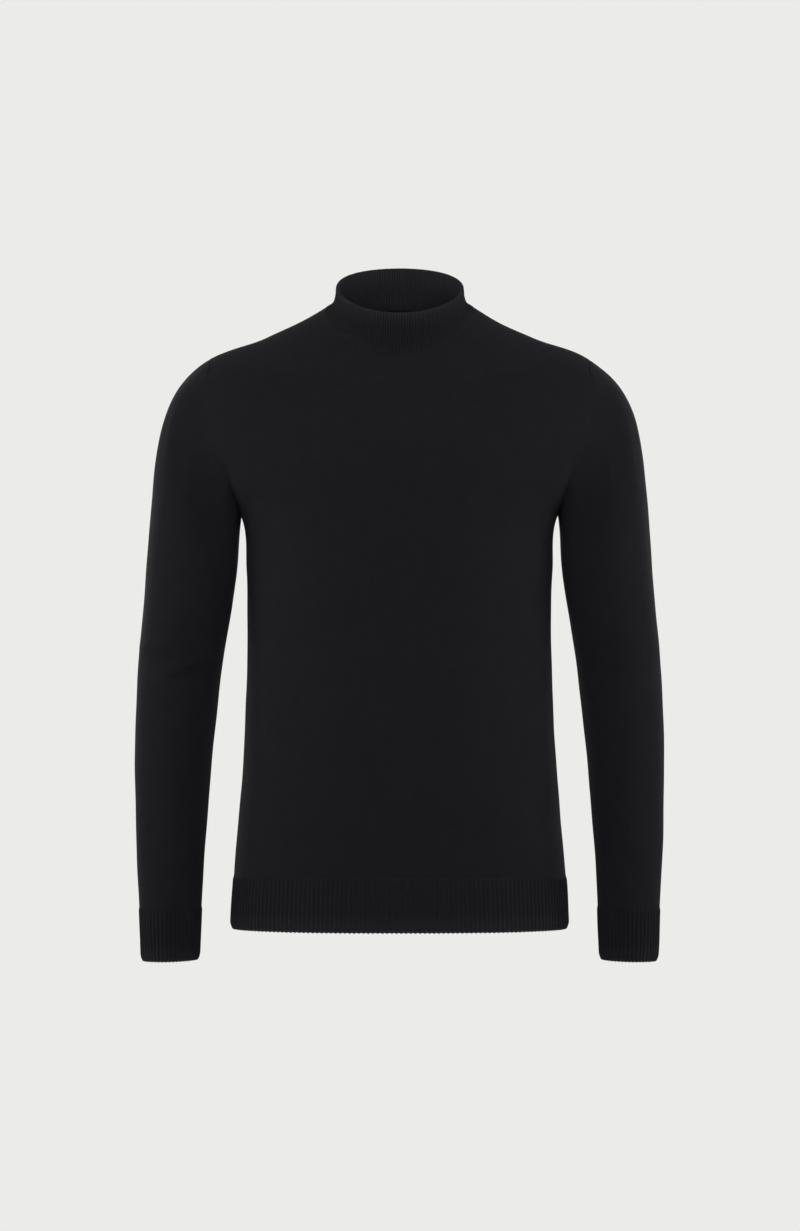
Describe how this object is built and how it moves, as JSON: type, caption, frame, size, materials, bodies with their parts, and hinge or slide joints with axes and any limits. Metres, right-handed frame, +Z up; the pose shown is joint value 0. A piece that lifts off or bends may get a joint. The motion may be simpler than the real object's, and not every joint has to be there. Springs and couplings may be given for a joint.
{
  "type": "mock neck sweater",
  "caption": "Black fine-knit sweater with a low standing collar, set-in long sleeves, and ribbed collar, cuffs and hem, filled out as if worn.",
  "frame": {"origin": "middle of the neck, level with the points where the shoulder seams meet the collar", "axes": "+Z up, the front of the sweater faces -Y, and the wearer's left is +X"},
  "size_m": [0.5814, 0.2416, 0.7637],
  "materials": {
    "knit": "matt black fine plain knit",
    "rib": "matt black rib knit"
  },
  "bodies": {
    "root": {"front": "knit", "back": "knit", "sleeve_left": "knit", "sleeve_right": "knit", "collar": "rib", "hem_rib_front": "rib", "hem_rib_back": "rib", "cuff_left": "rib", "cuff_right": "rib"}
  },
  "joints": []
}
